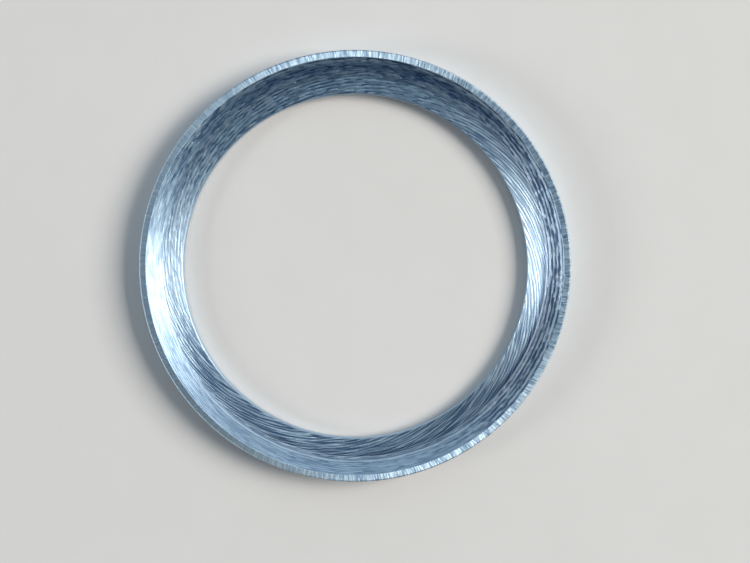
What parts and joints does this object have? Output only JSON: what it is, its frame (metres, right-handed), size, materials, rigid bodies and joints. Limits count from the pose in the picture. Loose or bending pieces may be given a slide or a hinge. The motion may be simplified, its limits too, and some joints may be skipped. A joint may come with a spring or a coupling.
{
  "type": "watch bezel insert",
  "caption": "Blank brushed metal ring with a flat outer land, a dished cone falling inwards and a near-flat ledge round the bore, backed by an adhesive film and its release liner.",
  "frame": {"origin": "on the ring's axis, in the plane of the liner's underside, on which the part lies", "axes": "+Z along the ring's axis, towards the brushed front face"},
  "size_m": [0.038, 0.038, 0.0023],
  "materials": {
    "brushed_metal": "brushed round the cone, slantwise on the ledge and across the land",
    "film": "milky tacky film",
    "liner": "coated paper"
  },
  "bodies": {
    "root": {"insert_ring": "brushed_metal", "adhesive_film": "film", "release_liner": "liner"}
  },
  "joints": []
}
